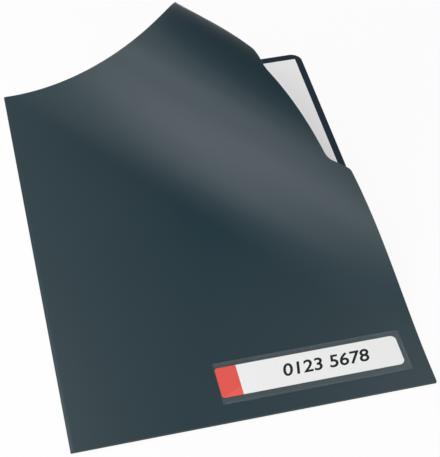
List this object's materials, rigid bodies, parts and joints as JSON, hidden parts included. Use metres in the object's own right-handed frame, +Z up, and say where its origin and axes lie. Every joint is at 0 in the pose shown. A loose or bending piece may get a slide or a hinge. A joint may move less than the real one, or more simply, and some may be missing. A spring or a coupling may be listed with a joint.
{
  "type": "l-shaped plastic folder",
  "caption": "Flat plastic document folder open at the top and right side, with a bendable front corner, a thumb notch, loose paper and a name card in a clear pocket.",
  "frame": {"origin": "middle of the underside of the back cover, on the table", "axes": "+Z up off the table, +X from the left fold to the open side, +Y from the welded bottom edge to the open top"},
  "size_m": [0.22, 0.31, 0.1222],
  "materials": {
    "cover_plastic": "satin, finely grained",
    "inside_plastic": "satin, darker inner face",
    "clear_film": "clear gloss",
    "white_card": "smooth uncoated card",
    "red_card": "printed card",
    "white_paper": "plain office paper"
  },
  "bodies": {
    "folder": {"back_cover": "inside_plastic", "left_fold": "cover_plastic", "bottom_weld": "cover_plastic", "front_cover": "cover_plastic", "label_pocket_film": "clear_film", "label_seam_top": "clear_film", "label_seam_bottom": "clear_film", "label_seam_end": "clear_film"},
    "corner_strip_01": {"front_strip_01": "cover_plastic"},
    "corner_strip_02": {"front_strip_02": "cover_plastic"},
    "corner_strip_03": {"front_strip_03": "cover_plastic"},
    "corner_strip_04": {"front_strip_04": "cover_plastic"},
    "corner_strip_05": {"front_strip_05": "cover_plastic"},
    "corner_strip_06": {"front_strip_06": "cover_plastic"},
    "corner_strip_07": {"front_strip_07": "cover_plastic"},
    "corner_strip_08": {"front_strip_08": "cover_plastic"},
    "corner_strip_09": {"front_strip_09": "cover_plastic"},
    "corner_strip_10": {"front_strip_10": "cover_plastic"},
    "corner_strip_11": {"front_strip_11": "cover_plastic"},
    "corner_strip_12": {"front_strip_12": "cover_plastic"},
    "corner_strip_13": {"front_strip_13": "cover_plastic"},
    "corner_strip_14": {"front_strip_14": "cover_plastic"},
    "corner_strip_15": {"front_strip_15": "cover_plastic"},
    "corner_strip_16": {"front_strip_16": "cover_plastic"},
    "upper_sheet": {"paper_upper": "white_paper"},
    "lower_sheet": {"paper_lower": "white_paper"},
    "name_card": {"label_card": "white_card", "label_card_band": "red_card"}
  },
  "joints": [
    {"name": "corner_bend_01", "type": "hinge", "parent": "folder", "child": "corner_strip_01", "pos_m": [0.04365, -0.04277, 0.00125], "axis": [0.5898, -0.8075, 0], "range_deg": [-7.48, 1.58]},
    {"name": "corner_bend_02", "type": "hinge", "parent": "corner_strip_01", "child": "corner_strip_02", "pos_m": [0.05216, -0.03655, 0.00271], "axis": [0.5898, -0.8075, 0], "range_deg": [-7.49, 1.58]},
    {"name": "corner_bend_03", "type": "hinge", "parent": "corner_strip_02", "child": "corner_strip_03", "pos_m": [0.06043, -0.03051, 0.0056], "axis": [0.5898, -0.8075, 0], "range_deg": [-7.54, 1.59]},
    {"name": "corner_bend_04", "type": "hinge", "parent": "corner_strip_03", "child": "corner_strip_04", "pos_m": [0.0683, -0.02477, 0.00988], "axis": [0.5898, -0.8075, 0], "range_deg": [-7.65, 1.61]},
    {"name": "corner_bend_05", "type": "hinge", "parent": "corner_strip_04", "child": "corner_strip_05", "pos_m": [0.0756, -0.01943, 0.01547], "axis": [0.5898, -0.8075, 0], "range_deg": [-7.83, 1.65]},
    {"name": "corner_bend_06", "type": "hinge", "parent": "corner_strip_05", "child": "corner_strip_06", "pos_m": [0.08219, -0.01462, 0.02231], "axis": [0.5898, -0.8075, 0], "range_deg": [-8.08, 1.7]},
    {"name": "corner_bend_07", "type": "hinge", "parent": "corner_strip_06", "child": "corner_strip_07", "pos_m": [0.08788, -0.01046, 0.03028], "axis": [0.5898, -0.8075, 0], "range_deg": [-8.41, 1.77]},
    {"name": "corner_bend_08", "type": "hinge", "parent": "corner_strip_07", "child": "corner_strip_08", "pos_m": [0.09252, -0.00708, 0.03924], "axis": [0.5898, -0.8075, 0], "range_deg": [-8.76, 1.84]},
    {"name": "corner_bend_09", "type": "hinge", "parent": "corner_strip_08", "child": "corner_strip_09", "pos_m": [0.09593, -0.00458, 0.049], "axis": [0.5898, -0.8075, 0], "range_deg": [-9.1, 1.91]},
    {"name": "corner_bend_10", "type": "hinge", "parent": "corner_strip_09", "child": "corner_strip_10", "pos_m": [0.09799, -0.00308, 0.05933], "axis": [0.5898, -0.8075, 0], "range_deg": [-9.34, 1.97]},
    {"name": "corner_bend_11", "type": "hinge", "parent": "corner_strip_10", "child": "corner_strip_11", "pos_m": [0.09859, -0.00264, 0.06994], "axis": [0.5898, -0.8075, 0], "range_deg": [-9.43, 1.99]},
    {"name": "corner_bend_12", "type": "hinge", "parent": "corner_strip_11", "child": "corner_strip_12", "pos_m": [0.09771, -0.00328, 0.08052], "axis": [0.5898, -0.8075, 0], "range_deg": [-9.32, 1.96]},
    {"name": "corner_bend_13", "type": "hinge", "parent": "corner_strip_12", "child": "corner_strip_13", "pos_m": [0.09538, -0.00498, 0.09077], "axis": [0.5898, -0.8075, 0], "range_deg": [-9.01, 1.9]},
    {"name": "corner_bend_14", "type": "hinge", "parent": "corner_strip_13", "child": "corner_strip_14", "pos_m": [0.09173, -0.00766, 0.10039], "axis": [0.5898, -0.8075, 0], "range_deg": [-8.54, 1.8]},
    {"name": "corner_bend_15", "type": "hinge", "parent": "corner_strip_14", "child": "corner_strip_15", "pos_m": [0.0869, -0.01118, 0.10919], "axis": [0.5898, -0.8075, 0], "range_deg": [-8.04, 1.69]},
    {"name": "corner_bend_16", "type": "hinge", "parent": "corner_strip_15", "child": "corner_strip_16", "pos_m": [0.08108, -0.01543, 0.11702], "axis": [0.5898, -0.8075, 0], "range_deg": [-4.63, 0.97]},
    {"name": "upper_sheet_slide", "type": "slide", "parent": "folder", "child": "upper_sheet", "axis": [1, 0, 0], "range_m": [0, 0.2]},
    {"name": "lower_sheet_slide", "type": "slide", "parent": "folder", "child": "lower_sheet", "axis": [0, 1, 0], "range_m": [0, 0.28]},
    {"name": "name_card_slide", "type": "slide", "parent": "folder", "child": "name_card", "axis": [-1, 0, 0], "range_m": [0, 0.105]}
  ],
  "couplings": [
    {"joint": "corner_bend_02", "follows": "corner_bend_01", "ratio": 1.0016},
    {"joint": "corner_bend_03", "follows": "corner_bend_01", "ratio": 1.008},
    {"joint": "corner_bend_04", "follows": "corner_bend_01", "ratio": 1.022},
    {"joint": "corner_bend_05", "follows": "corner_bend_01", "ratio": 1.0458},
    {"joint": "corner_bend_06", "follows": "corner_bend_01", "ratio": 1.0802},
    {"joint": "corner_bend_07", "follows": "corner_bend_01", "ratio": 1.1233},
    {"joint": "corner_bend_08", "follows": "corner_bend_01", "ratio": 1.1709},
    {"joint": "corner_bend_09", "follows": "corner_bend_01", "ratio": 1.2156},
    {"joint": "corner_bend_10", "follows": "corner_bend_01", "ratio": 1.2484},
    {"joint": "corner_bend_11", "follows": "corner_bend_01", "ratio": 1.2605},
    {"joint": "corner_bend_12", "follows": "corner_bend_01", "ratio": 1.2457},
    {"joint": "corner_bend_13", "follows": "corner_bend_01", "ratio": 1.2036},
    {"joint": "corner_bend_14", "follows": "corner_bend_01", "ratio": 1.1414},
    {"joint": "corner_bend_15", "follows": "corner_bend_01", "ratio": 1.0739},
    {"joint": "corner_bend_16", "follows": "corner_bend_01", "ratio": 0.61857}
  ]
}
